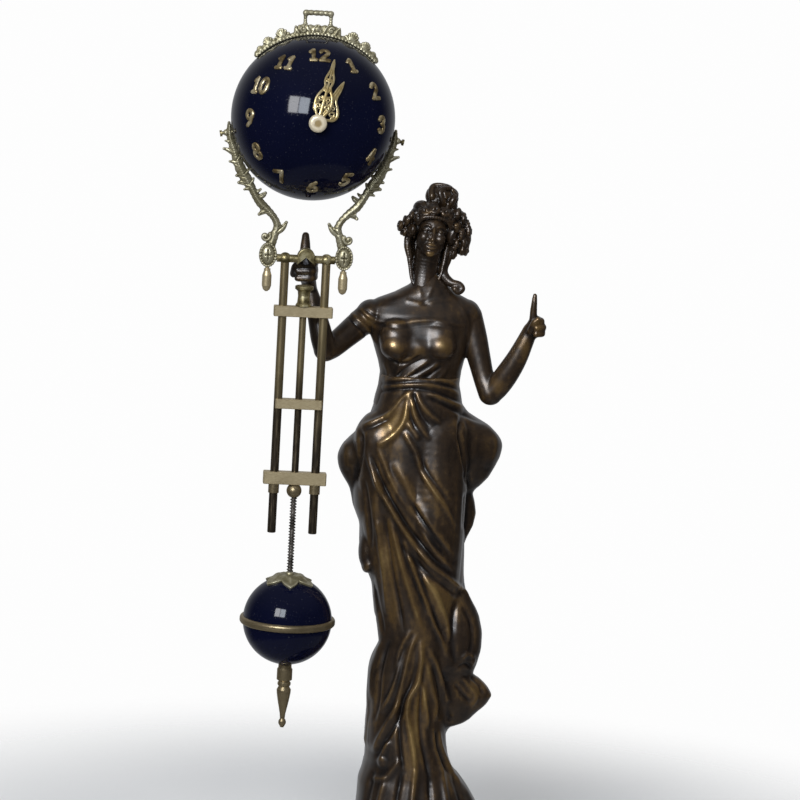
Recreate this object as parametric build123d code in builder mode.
from build123d import *
import os
from math import acos, atan2, cos, degrees, hypot, pi, radians, sin, sqrt

os.makedirs("parts", exist_ok=True)

# A figure clock: a cast lady on a turned foot holds a stud in her raised right hand, and a whole clock
# hangs and swings on that stud. The frame's origin is the middle of the foot's underside, Z is up and
# the dial faces -Y. All sizes are in millimetres.

# Places that everything follows
pivot_x = -95.0
pivot_y = -45.0
pivot_height = 470.0
ball_rise = 97.0
figure_x = 1.0
figure_y = 5.0
foot_height = 50.0

# Figure: its height puts the stud at its hand's level, and its joints follow as shares of its height
hand_level_share = 0.88983
neck_level_share = 0.83475
waist_level_share = 0.6822
figure_height = (pivot_height - foot_height) / hand_level_share
neck_height = foot_height + neck_level_share * figure_height
waist_height = foot_height + waist_level_share * figure_height

# Clearances
overrun = 2.0
slip_gap = 0.05
knife_gap = 0.05
running_gap = 0.4
seat_gap = 0.02

# Foot
felt_thickness = 1.5
felt_inset = 3.0
foot_radius = 82.0
foot_step = 7.0
foot_step_height = 12.0
foot_cove = 10.0
foot_top_radius = 64.0
foot_top_lip = 6.0
bolt_diameter = 8.0
bolt_head_diameter = 16.0
bolt_head_height = 6.0
bolt_reach = 14.0
bolt_recess_diameter = 26.0
bolt_recess_depth = 16.0
bolt_slot = 2.0
foot_wall = 6.0
foot_boss_diameter = 40.0
foot_roof = 9.0

# Figure
robe_wall = 4.5
robe_floor = 22.0
robe_roof = 20.0
torso_wall = 4.5
knuckle_radius = 5.0
finger_root_radius = 3.6
finger_tip_radius = 2.6
finger_rise = 14.0
curl_radius = 3.4
curl_spacing = 5.2
curl_count = 3

# Stud in the hand
stud_diameter = 5.0
stud_front_overhang = 1.2
stud_edge_angle = 25.0
stud_back = 8.0
notch_angle = 50.0

# Crossbar
crossbar_drop = 1.5
crossbar_diameter = 5.6
crossbar_spigot = 3.6
crossbar_spigot_length = 4.0
centre_boss_diameter = 12.4
centre_boss_depth = 8.0
centre_boss_leg = 5.6
socket_diameter = 8.4

# Brackets
rosette_spacing = 53.4
rosette_width = 12.6
rosette_height = 15.5
rosette_depth = 9.0
rosette_button = 6.0
rosette_button_rise = 1.2
bracket_depth = 5.0
drop_diameter = 6.6
drop_length = 16.0
drop_neck = 4.6
drop_spigot = 3.0
drop_spigot_length = 3.5
bracket_screw_diameter = 2.4
bracket_screw_head = 4.4
bracket_screw_head_height = 1.6
bracket_pad_diameter = 5.0
bracket_screw_sink = 5.0

# Rods and cross pieces
rod_spacing = 29.0
side_rod_diameter = 6.0
side_rod_end_drop = 196.5
side_rod_socket = 2.0
centre_rod_diameter = 5.0
upper_piece_drop = 38.5
upper_piece_width = 41.4
upper_piece_height = 7.4
middle_piece_drop = 104.0
middle_piece_width = 33.0
middle_piece_height = 6.8
lower_piece_drop = 157.0
lower_piece_width = 44.6
lower_piece_height = 8.8
cross_piece_depth = 9.0
cross_piece_edge = 0.8
ferrule_diameter = 7.6
ferrule_length = 6.5
spool_flange_diameter = 13.0
spool_flange_height = 2.6
spool_height = 14.8
bead_diameter = 10.7
bead_flat = 0.8
screw_diameter = 5.0
screw_core = 3.8
thread_pitch = 1.6
screw_blank = 4.0

# Ball
ball_diameter = 114.3
shell_wall = 1.0
back_opening_depth = 10.0
back_lip_length = 4.0
back_lip_wall = 1.0
dial_hole_diameter = 8.0
girdle_back = 5.0
girdle_wall = 6.5
numeral_angle = 52.0
numeral_height = 12.6
numeral_stroke = 2.3
numeral_thickness = 0.7
numeral_gap = 1.3

# Crest and handle
crest_foot = 0.3
crest_depth = 4.0
crest_band = 3.2
crest_block_width = 27.0
crest_block_height = 8.0
handle_wire = 3.2
handle_width = 21.0
handle_leg_spacing = 17.0
handle_height = 9.0
handle_bead = 4.4
handle_seat = 1.6

# Movement, measured to the front from the middle of the ball
plate_thickness = 1.6
front_plate_back = 11.4
back_plate_front = 11.4
front_plate_gap = 1.6
back_plate_gap = 3.65
pillar_diameter = 5.0
pillar_inset = 4.0
pillar_screw = 2.6
pillar_nut_diameter = 5.6
pillar_nut_height = 2.0
plate_screw_inset = 1.95
plate_screw_count = 4
plate_screw_diameter = 2.0
plate_screw_head = 3.4
plate_screw_head_height = 1.2
plate_screw_reach = 5.0
wheel_thickness = 1.2
going_module = 0.5
great_module = 0.7
motion_module = 0.6
lantern_disc = 0.6
lantern_length = 2.8
arbor_diameter = 2.0
pivot_diameter = 1.2
great_wheel_front = 3.4
centre_wheel_front = 6.4
intermediate_wheel_front = 9.2
third_wheel_front = -6.8
escape_wheel_front = -1.8
barrel_drop = 25.0
barrel_diameter = 36.0
barrel_depth = 12.0
barrel_wall = 1.2
barrel_cap_thickness = 1.0
mainspring_thickness = 0.5
mainspring_space = 0.9
mainspring_height = 8.0
mainspring_core = 8.0
winding_arbor_diameter = 4.0
winding_square = 2.6
winding_square_length = 14.0
ratchet_diameter = 14.0
ratchet_thickness = 1.4
ratchet_tooth = 0.8
click_length = 9.0
click_bearing = 160.0
click_distance = 14.0
click_width = 3.0
click_screw_diameter = 2.0
third_bearing = 40.0
escape_diameter = 24.0
escape_tooth = 2.6
anchor_distance = 18.0
anchor_width = 2.2
anchor_nib = 1.8
pallet_angle = 38.0
inner_pendulum_length = 22.0
inner_pendulum_rod = 1.2
inner_bob_diameter = 13.0
inner_bob_thickness = 3.0
inner_pendulum_gap = 3.6
minute_bearing = -30.0
cannon_bore = 2.1
cannon_diameter = 3.8
hour_pipe_diameter = 6.0
motion_wheel_gap = 0.8
motion_wheel_thickness = 1.2
centre_arbor_diameter = 2.0
knob_diameter = 10.0
knob_length = 5.0
knob_flute = 1.25
knob_flutes_count = 12

# Hands
hour_hand_lift = 1.5
hand_thickness = 0.9
hand_spacing = 0.9
minute_hand_length = 49.0
hour_hand_length = 35.0
hand_boss_diameter = 9.0
minute_hand_angle = 13.4
hour_hand_angle = 31.2
hub_diameter = 12.4
hub_height = 3.0
hub_round = 2.4

# Bob
bob_drop = 259.5
bob_diameter = 63.4
bob_wall = 1.0
bob_ring_diameter = 68.0
bob_ring_height = 5.4
bob_ring_seat = 1.2
bob_ring_round = 2.0
weight_diameter = 58.0
weight_neck = 12.0
leaf_cap_radius = 17.5
leaf_cap_thickness = 1.0
leaf_count = 8
leaf_collar_diameter = 9.0
leaf_collar_height = 2.4
nut_diameter = 11.0
nut_length = 46.0
nut_bore_depth = 18.0
bob_travel = 3.0

# Tooth counts and shares of a tooth
great_teeth = 60
intermediate_teeth = 72
centre_teeth = 72
third_teeth = 60
escape_teeth = 40
lantern_pins = 8
cannon_teeth = 12
minute_teeth = 36
minute_pinion_teeth = 10
hour_teeth = 40
ratchet_teeth = 18
tooth_root_share = 0.56
tooth_tip_share = 0.20
addendum_share = 0.80
dedendum_share = 1.15
pin_share = 0.34

# Derived places
ball_radius = ball_diameter / 2
ball_height = pivot_height + ball_rise
shell_inner = ball_radius - shell_wall
bob_radius = bob_diameter / 2
bob_height = pivot_height - bob_drop
rosette_x = rosette_spacing / 2
crossbar_level = -crossbar_drop
front_plate_front = front_plate_back + plate_thickness
back_plate_back = back_plate_front + plate_thickness
upward = (0, 0, 1)
frontward = (0, -1, 0)


def hand_in(piece, name):
    """Labels a finished piece and writes it."""
    piece.part.label = name
    export_step(piece.part, f"parts/{name}.step")


def swing_plane(front=0.0, x=0.0, z=0.0):
    """A plane that faces the front, placed from the pivot: x to the right, y up."""
    return Plane(origin=(pivot_x + x, pivot_y - front, pivot_height + z), x_dir=(1, 0, 0), z_dir=frontward)


def ball_plane(front=0.0, x=0.0, z=0.0):
    """The same, placed from the middle of the ball."""
    return swing_plane(front, x, ball_rise + z)


def level_plane(drop, x=0.0):
    """A level plane on the line of the pendulum, placed down from the pivot."""
    return Plane.XY.offset(pivot_height - drop).shift_origin((pivot_x + x, pivot_y, pivot_height - drop))


def circle_points(radius, count, start=0.0):
    """Points evenly round a circle, the first at an angle in degrees."""
    return [
        (radius * cos(radians(start) + 2 * pi * i / count), radius * sin(radians(start) + 2 * pi * i / count))
        for i in range(count)
    ]


def limb(start, start_radius, end, end_radius):
    """Adds a flat tapered limb with round ends to the sketch that is open."""
    along = atan2(end[1] - start[1], end[0] - start[0])
    length = hypot(end[0] - start[0], end[1] - start[1])
    lean = acos(max(-1, min(1, (start_radius - end_radius) / length)))
    corners = [
        (point[0] + radius * cos(along + side * lean), point[1] + radius * sin(along + side * lean))
        for side, point, radius in (
            (1, start, start_radius),
            (1, end, end_radius),
            (-1, end, end_radius),
            (-1, start, start_radius),
        )
    ]
    with Locations(start):
        Circle(start_radius)
    with Locations(end):
        Circle(end_radius)
    Polygon(*corners)


def limb_chain(stations):
    """Adds limbs through stations of x, y and radius to the sketch that is open."""
    for (x1, y1, r1), (x2, y2, r2) in zip(stations, stations[1:]):
        limb((x1, y1), r1, (x2, y2), r2)


def wheel_teeth(module, teeth, phase):
    """Adds a toothed disc with straight-sided teeth to the sketch that is open."""
    pitch_radius = module * teeth / 2
    tip_radius = pitch_radius + addendum_share * module
    root_radius = pitch_radius - dedendum_share * module
    tooth_angle = 2 * pi / teeth
    outline = []
    for i in range(teeth):
        middle = radians(phase) + i * tooth_angle
        outline.append((root_radius, middle - tooth_angle * tooth_root_share / 2))
        outline.append((tip_radius, middle - tooth_angle * tooth_tip_share / 2))
        outline.append((tip_radius, middle + tooth_angle * tooth_tip_share / 2))
        outline.append((root_radius, middle + tooth_angle * tooth_root_share / 2))
    Polygon(*[(r * cos(a), r * sin(a)) for r, a in outline])


def add_disc(plane, radius, thickness):
    """Adds a disc that stands on a plane to the part that is open."""
    with BuildSketch(plane) as disc:
        Circle(radius)
    extrude(disc.sketch, amount=thickness)


def add_lantern(face, module, front, phase):
    """Adds a lantern pinion, two discs with pins between, to the part that is open."""
    pin_circle = module * lantern_pins / 2
    pin_radius = module * pi * pin_share / 2
    disc_radius = pin_circle + pin_radius + module / 2
    back = front - lantern_length
    add_disc(face.offset(back - lantern_disc), disc_radius, lantern_disc)
    add_disc(face.offset(front), disc_radius, lantern_disc)
    with BuildSketch(face.offset(back)) as pins:
        with Locations(*circle_points(pin_circle, lantern_pins, phase)):
            Circle(pin_radius)
    extrude(pins.sketch, amount=lantern_length)


def add_arbor(face, back, front, diameter=arbor_diameter):
    """Adds an arbor between the plates with a thin pivot at each end to the part that is open."""
    add_disc(face.offset(back), diameter / 2, front - back)
    add_disc(face.offset(back - plate_thickness), pivot_diameter / 2, front - back + 2 * plate_thickness)


def turned(face, stations):
    """Adds a turned piece to the part that is open: stations of radius and level on a face whose y is up."""
    with BuildSketch(face) as profile:
        Polygon((0, stations[0][1]), *stations, (0, stations[-1][1]))
    revolve(profile.sketch, axis=Axis(face.origin, upward))


# Wheel centres, measured from the middle of the ball
def meeting_point(first, first_radius, second, second_radius, side):
    """The point at two distances from two centres, on the side given by +1 or -1."""
    apart = hypot(second[0] - first[0], second[1] - first[1])
    along = (first_radius**2 - second_radius**2 + apart**2) / (2 * apart)
    away = side * sqrt(first_radius**2 - along**2)
    ux, uy = (second[0] - first[0]) / apart, (second[1] - first[1]) / apart
    return (first[0] + along * ux - away * uy, first[1] + along * uy + away * ux)


def bearing(start, end):
    """The direction from one centre to another, in degrees."""
    return degrees(atan2(end[1] - start[1], end[0] - start[0]))


centre_spot = (0.0, 0.0)
barrel_spot = (0.0, -barrel_drop)
great_to_intermediate = great_module * (great_teeth + lantern_pins) / 2
intermediate_to_centre = going_module * (intermediate_teeth + lantern_pins) / 2
centre_to_third = going_module * (centre_teeth + lantern_pins) / 2
third_to_escape = going_module * (third_teeth + lantern_pins) / 2
intermediate_spot = meeting_point(centre_spot, intermediate_to_centre, barrel_spot, great_to_intermediate, -1)
third_spot = (centre_to_third * cos(radians(third_bearing)), centre_to_third * sin(radians(third_bearing)))
escape_spot = meeting_point(centre_spot, centre_to_third, third_spot, third_to_escape, 1)
anchor_spot = (escape_spot[0], escape_spot[1] + anchor_distance)
minute_distance = motion_module * (cannon_teeth + minute_teeth) / 2
hour_module = 2 * minute_distance / (minute_pinion_teeth + hour_teeth)
minute_spot = (minute_distance * cos(radians(minute_bearing)), minute_distance * sin(radians(minute_bearing)))


# Foot of the stand
with BuildPart() as plinth_felt:
    with BuildSketch():
        Circle(foot_radius - felt_inset)
        Circle(bolt_recess_diameter / 2, mode=Mode.SUBTRACT)
    extrude(amount=felt_thickness)
hand_in(plinth_felt, "plinth_felt")

step_radius = foot_radius - foot_step
cove_bottom = felt_thickness + foot_step_height
cove_top = foot_height - foot_top_lip
with BuildPart() as plinth:
    with BuildSketch(Plane.XZ):
        with BuildLine():
            Polyline(
                (0, felt_thickness),
                (foot_radius - foot_step / 2, felt_thickness),
                (foot_radius, felt_thickness + foot_step / 2),
                (foot_radius, cove_bottom - foot_step / 2),
                (foot_radius - foot_step / 2, cove_bottom),
                (step_radius, cove_bottom),
            )
            Spline(
                (step_radius, cove_bottom),
                (foot_top_radius - foot_cove / 2, (cove_bottom + cove_top) / 2),
                (foot_top_radius - foot_step / 2, cove_top),
                tangents=[(-1, 1), (1, 2)],
            )
            Polyline(
                (foot_top_radius - foot_step / 2, cove_top),
                (foot_top_radius, cove_top),
                (foot_top_radius, foot_height),
                (0, foot_height),
                (0, felt_thickness),
            )
        make_face()
    revolve(axis=Axis.Z)
    with BuildSketch(Plane.XY):
        Circle(foot_top_radius - foot_cove / 2 - foot_wall)
        Circle(foot_boss_diameter / 2, mode=Mode.SUBTRACT)
    extrude(amount=foot_height - foot_roof, mode=Mode.SUBTRACT)
    with BuildSketch(Plane.XY):
        Circle(bolt_recess_diameter / 2)
    extrude(amount=felt_thickness + bolt_recess_depth, mode=Mode.SUBTRACT)
    with BuildSketch(Plane.XY):
        Circle(bolt_diameter / 2 + slip_gap)
    extrude(amount=foot_height, mode=Mode.SUBTRACT)
hand_in(plinth, "plinth")

bolt_seat = felt_thickness + bolt_recess_depth
with BuildPart() as tie_bolt:
    with BuildSketch(Plane.XY.offset(bolt_seat - bolt_head_height)):
        Circle(bolt_head_diameter / 2)
    extrude(amount=bolt_head_height)
    chamfer(tie_bolt.edges().group_by(Axis.Z)[0], bolt_slot / 2)
    with BuildSketch(Plane.XY.offset(bolt_seat)):
        Circle(bolt_diameter / 2)
    extrude(amount=foot_height + bolt_reach - bolt_seat)
    with BuildSketch(Plane.XY.offset(bolt_seat - bolt_head_height)):
        Rectangle(bolt_head_diameter, bolt_slot)
    extrude(amount=bolt_slot, mode=Mode.SUBTRACT)
hand_in(tie_bolt, "tie_bolt")


# Figure, the robe: rows of height, left, right, front and back as shares of the standing height, then
# the depth of the folds as a share of the radius; the swags of loose cloth are place and radii
robe_shares = [
    (0.000, 0.112, 0.122, 0.105, 0.095, 0.02),
    (0.030, 0.090, 0.114, 0.096, 0.090, 0.02),
    (0.065, 0.074, 0.102, 0.086, 0.084, 0.03),
    (0.105, 0.070, 0.078, 0.080, 0.080, 0.03),
    (0.145, 0.060, 0.060, 0.076, 0.080, 0.03),
    (0.180, 0.062, 0.055, 0.075, 0.082, 0.03),
    (0.210, 0.062, 0.055, 0.075, 0.084, 0.03),
    (0.245, 0.063, 0.057, 0.076, 0.086, 0.03),
    (0.285, 0.057, 0.059, 0.076, 0.086, 0.03),
    (0.325, 0.052, 0.062, 0.076, 0.086, 0.03),
    (0.365, 0.060, 0.066, 0.077, 0.086, 0.03),
    (0.410, 0.069, 0.067, 0.078, 0.087, 0.03),
    (0.450, 0.082, 0.065, 0.080, 0.088, 0.03),
    (0.490, 0.090, 0.065, 0.082, 0.090, 0.03),
    (0.525, 0.098, 0.065, 0.084, 0.092, 0.03),
    (0.560, 0.096, 0.066, 0.084, 0.092, 0.03),
    (0.595, 0.094, 0.067, 0.083, 0.090, 0.03),
    (0.625, 0.091, 0.066, 0.079, 0.082, 0.02),
    (0.655, 0.080, 0.052, 0.073, 0.066, 0.02),
    (0.682, 0.078, 0.048, 0.070, 0.058, 0.02),
]
swag_shares = [
    ((-0.099, 0.010, 0.585), (0.029, 0.045, 0.047)),
    ((0.082, 0.010, 0.610), (0.032, 0.050, 0.034)),
    ((0.072, 0.012, 0.574), (0.026, 0.042, 0.042)),
    ((0.069, 0.018, 0.500), (0.014, 0.030, 0.036)),
    ((-0.080, 0.010, 0.442), (0.010, 0.026, 0.034)),
    ((0.074, 0.000, 0.330), (0.025, 0.036, 0.052)),
    ((0.085, 0.004, 0.228), (0.032, 0.032, 0.030)),
]
fold_count = 9
fold_turns_share = 1.1
fold_points = 4 * fold_count
section_power_share = 2.3


def robe_outline(row, shrink=0.0):
    """Points round the robe at one row, with its folds unless it is shrunk for the hollow."""
    height, left, right, front, back, fold = row
    points = []
    for i in range(fold_points):
        angle = 2 * pi * i / fold_points
        side = right if cos(angle) > 0 else left
        depth = back if sin(angle) > 0 else front
        reach_x = side * figure_height - shrink
        reach_y = depth * figure_height - shrink
        wave = 1 - fold + fold * cos(fold_count * angle + 2 * pi * fold_turns_share * height * fold_count / 4)
        if shrink:
            wave = 1 - 2 * fold
        x = reach_x * wave * abs(cos(angle)) ** (2 / section_power_share) * (1 if cos(angle) > 0 else -1)
        y = reach_y * wave * abs(sin(angle)) ** (2 / section_power_share) * (1 if sin(angle) > 0 else -1)
        points.append((figure_x + x, figure_y + y))
    return points


def stack_sections(sections):
    """Lofts closed curves through points, each with its level, in the part that is open."""
    slices = []
    for level, points in sections:
        with BuildSketch(Plane.XY.offset(level)) as outline:
            with BuildLine():
                Spline(*points, periodic=True)
            make_face()
        slices.append(outline.sketch)
    loft(slices)


def body_point(x_share, y_share, height_share):
    """A place on the figure from shares of its standing height."""
    return (
        figure_x + x_share * figure_height,
        figure_y + y_share * figure_height,
        foot_height + height_share * figure_height,
    )


def egg(place, radii):
    """A smooth egg from a place and three radii as shares of the standing height."""
    with BuildPart() as form:
        Sphere(1)
        scale(by=tuple(share * figure_height for share in radii))
    return form.part.moved(Location(body_point(*place)))


robe_rows = [(foot_height + row[0] * figure_height, row) for row in robe_shares[:-1]]
robe_rows.append((waist_height, robe_shares[-1]))
hollow_bottom = foot_height + robe_floor
hollow_top = waist_height - robe_roof
hollow_rows = [(level, row) for level, row in robe_rows if hollow_bottom < level < hollow_top]
with BuildPart() as robe_hollow:
    stack_sections([(level, robe_outline(row, robe_wall)) for level, row in hollow_rows])
with BuildPart() as figure_robe:
    stack_sections([(level, robe_outline(row)) for level, row in robe_rows])
    for place, radii in swag_shares:
        add(egg(place, radii))
    add(robe_hollow.part, mode=Mode.SUBTRACT)
    with BuildSketch(Plane.XY.offset(foot_height)):
        Circle(bolt_diameter / 2 + slip_gap)
    extrude(amount=bolt_reach + slip_gap, mode=Mode.SUBTRACT)
hand_in(figure_robe, "figure_robe")


# Figure, the torso: rows of height, left, right, front and back as shares of the standing height
torso_shares = [
    (0.682, 0.078, 0.048, 0.070, 0.058),
    (0.708, 0.077, 0.052, 0.070, 0.059),
    (0.733, 0.083, 0.059, 0.072, 0.061),
    (0.758, 0.091, 0.070, 0.070, 0.064),
    (0.780, 0.099, 0.080, 0.064, 0.061),
    (0.801, 0.096, 0.076, 0.055, 0.057),
    (0.818, 0.076, 0.057, 0.042, 0.051),
    (0.829, 0.050, 0.034, 0.032, 0.040),
    (0.835, 0.040, 0.022, 0.028, 0.034),
]
breast_share = 0.031
breast_place_shares = [(-0.054, -0.052, 0.751), (0.027, -0.052, 0.753)]
torso_points = 16


def torso_outline(row, shrink=0.0):
    """Points round the torso at one row."""
    height, left, right, front, back = row
    points = []
    for i in range(torso_points):
        angle = 2 * pi * i / torso_points
        side = right if cos(angle) > 0 else left
        depth = back if sin(angle) > 0 else front
        x = (side * figure_height - shrink) * cos(angle)
        y = (depth * figure_height - shrink) * sin(angle)
        points.append((figure_x + x, figure_y + y))
    return points


def torso_level(row):
    """The height of a torso row: the ends lie on the joints of the castings."""
    if row is torso_shares[0]:
        return waist_height
    if row is torso_shares[-1]:
        return neck_height
    return foot_height + row[0] * figure_height


torso_hollow_rows = [row for row in torso_shares[1:-3]]
with BuildPart() as torso_hollow:
    stack_sections([(torso_level(row), torso_outline(row, torso_wall)) for row in torso_hollow_rows])
with BuildPart() as torso_solid:
    stack_sections([(torso_level(row), torso_outline(row)) for row in torso_shares])
    for place in breast_place_shares:
        with Locations(body_point(*place)):
            Sphere(breast_share * figure_height)
with BuildPart() as figure_torso:
    add(torso_solid.part)
    add(torso_hollow.part, mode=Mode.SUBTRACT)
hand_in(figure_torso, "figure_torso")


def add_limb(stations):
    """Adds round tapered limbs to the part that is open, from shares of place and radius."""
    for (x1, y1, z1, r1), (x2, y2, z2, r2) in zip(stations, stations[1:]):
        start = Vector(*body_point(x1, y1, z1))
        end = Vector(*body_point(x2, y2, z2))
        along = (end - start).normalized()
        with BuildSketch(Plane(origin=start, z_dir=along)) as near:
            Circle(r1 * figure_height)
        with BuildSketch(Plane(origin=end, z_dir=along)) as far:
            Circle(r2 * figure_height)
        loft([near.sketch, far.sketch])
    for x, y, z, r in stations:
        with Locations(body_point(x, y, z)):
            Sphere(r * figure_height)


# Head: neck, face, hair, knot of hair and side rolls, all as shares of the standing height
neck_shares = [
    (-0.010, 0.006, 0.8348, 0.0290),
    (-0.009, 0.004, 0.8600, 0.0270),
    (-0.007, 0.000, 0.8950, 0.0285),
]
skull_shares = ((-0.006, -0.003, 0.934), (0.036, 0.044, 0.046))
jaw_shares = ((-0.007, -0.018, 0.904), (0.026, 0.028, 0.030))
nose_shares = [(-0.007, -0.046, 0.926, 0.0035), (-0.007, -0.053, 0.910, 0.0050)]
hair_shares = ((-0.004, 0.010, 0.944), (0.043, 0.046, 0.044))
knot_shares = ((0.012, 0.012, 0.982), (0.026, 0.026, 0.022))
roll_shares = [
    (-0.055, -0.006, 0.932, 0.012),
    (-0.040, -0.030, 0.950, 0.014),
    (-0.016, -0.042, 0.962, 0.015),
    (0.012, -0.040, 0.960, 0.015),
    (0.034, -0.024, 0.946, 0.017),
    (0.042, -0.012, 0.924, 0.016),
    (0.040, -0.002, 0.900, 0.015),
    (-0.036, 0.012, 0.906, 0.016),
]
with BuildPart() as figure_head:
    add_limb(neck_shares)
    add(egg(*skull_shares))
    add(egg(*jaw_shares))
    add_limb(nose_shares)
    add(egg(*hair_shares))
    add(egg(*knot_shares))
    for x, y, z, r in roll_shares:
        with Locations(body_point(x, y, z)):
            Sphere(r * figure_height)
    split(bisect_by=Plane.XY.offset(neck_height), keep=Keep.TOP)
hand_in(figure_head, "figure_head")

# Arms: stations from the shoulder to the wrist, then the hand and its fingers
left_arm_shares = [
    (0.068, 0.002, 0.792, 0.0255),
    (0.077, -0.002, 0.729, 0.0195),
    (0.102, -0.011, 0.692, 0.0205),
    (0.124, -0.018, 0.730, 0.0165),
    (0.146, -0.023, 0.766, 0.0125),
]
left_hand_shares = ((0.155, -0.025, 0.790), (0.0165, 0.0135, 0.0185))
left_finger_shares = [(0.152, -0.026, 0.805, 0.0055), (0.1525, -0.027, 0.838, 0.0038)]
left_curl_shares = [
    (0.160, -0.038, 0.800, 0.0065),
    (0.165, -0.037, 0.790, 0.0060),
    (0.164, -0.036, 0.780, 0.0055),
]
left_thumb_shares = [(0.146, -0.036, 0.784, 0.0055), (0.152, -0.041, 0.797, 0.0045)]
with BuildPart() as figure_arm_left:
    add_limb(left_arm_shares)
    add(egg(*left_hand_shares))
    add_limb(left_finger_shares)
    add_limb(left_thumb_shares)
    for x, y, z, r in left_curl_shares:
        with Locations(body_point(x, y, z)):
            Sphere(r * figure_height)
    add(torso_solid.part, mode=Mode.SUBTRACT)
hand_in(figure_arm_left, "figure_arm_left")

right_arm_shares = [
    (-0.094, 0.002, 0.792, 0.0260),
    (-0.126, -0.008, 0.772, 0.0210),
    (-0.164, -0.026, 0.753, 0.0205),
    (-0.174, -0.042, 0.790, 0.0170),
    (-0.186, -0.056, 0.832, 0.0125),
]
stud_lowering = stud_diameter / 2
fist_offset_shares = (0.0042, 0.0381, -0.0233)
fist_radii_shares = (0.0182, 0.0161, 0.0203)
fist_offset = tuple(share * figure_height for share in fist_offset_shares)
fist_radii = tuple(share * figure_height for share in fist_radii_shares)


def from_pivot(x, y, z):
    """A place measured from the pivot, y to the back."""
    return (pivot_x + x, pivot_y + y, pivot_height + z)


wrist = Vector(*body_point(*right_arm_shares[-1][:3]))
fist = Vector(*from_pivot(*fist_offset))
knuckle_back = centre_boss_depth / 2 + 2 * running_gap + knuckle_radius + stud_back
knuckle = Vector(*from_pivot(0, knuckle_back, -stud_lowering))
fingertip = Vector(*from_pivot(0, fist_offset[1], finger_rise - finger_tip_radius))
with BuildPart() as fist_form:
    Sphere(1)
    scale(by=fist_radii)


def add_round_bar(start, start_radius, end, end_radius):
    """Adds one round tapered bar with round ends between two places to the part that is open."""
    along = (end - start).normalized()
    with BuildSketch(Plane(origin=start, z_dir=along)) as near:
        Circle(start_radius)
    with BuildSketch(Plane(origin=end, z_dir=along)) as far:
        Circle(end_radius)
    loft([near.sketch, far.sketch])
    with Locations(start):
        Sphere(start_radius)
    with Locations(end):
        Sphere(end_radius)


with BuildPart() as figure_arm_right:
    add_limb(right_arm_shares)
    add_round_bar(wrist, right_arm_shares[-1][3] * figure_height, fist, fist_radii[1])
    add(fist_form.part.moved(Location(fist)))
    add_round_bar(fist, fist_radii[1] - overrun, knuckle, knuckle_radius)
    add_round_bar(knuckle, finger_root_radius, fingertip, finger_tip_radius)
    for i in range(curl_count):
        with Locations(fist - Vector(0, fist_radii[1] - curl_radius / 2, (i - 1) * curl_spacing)):
            Sphere(curl_radius)
    add(torso_solid.part, mode=Mode.SUBTRACT)
    with BuildSketch(swing_plane(-stud_back - centre_boss_depth, z=-stud_lowering)) as stud_bore:
        Circle(stud_diameter / 2 + slip_gap)
    extrude(amount=stud_back + centre_boss_depth, mode=Mode.SUBTRACT)
hand_in(figure_arm_right, "figure_arm_right")

# Stud: round in the hand, ground to a ridge where the clock hangs
stud_front = centre_boss_depth / 2 + stud_front_overhang
stud_hidden = centre_boss_depth + stud_back
with BuildPart() as pivot_stud:
    with BuildSketch(swing_plane(-stud_hidden, z=-stud_lowering)):
        Circle(stud_diameter / 2)
    extrude(amount=stud_hidden - stud_back)
    with BuildSketch(swing_plane(-stud_back)):
        with Locations((0, -stud_lowering)):
            Circle(stud_diameter / 2)
        edge_reach = stud_diameter + overrun
        edge_spread = edge_reach * sin(radians(stud_edge_angle)) / cos(radians(stud_edge_angle))
        Polygon(
            (0, -knife_gap),
            (-edge_spread, -knife_gap - edge_reach),
            (edge_spread, -knife_gap - edge_reach),
            mode=Mode.INTERSECT,
        )
    extrude(amount=stud_back + stud_front)
hand_in(pivot_stud, "pivot_stud")


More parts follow.
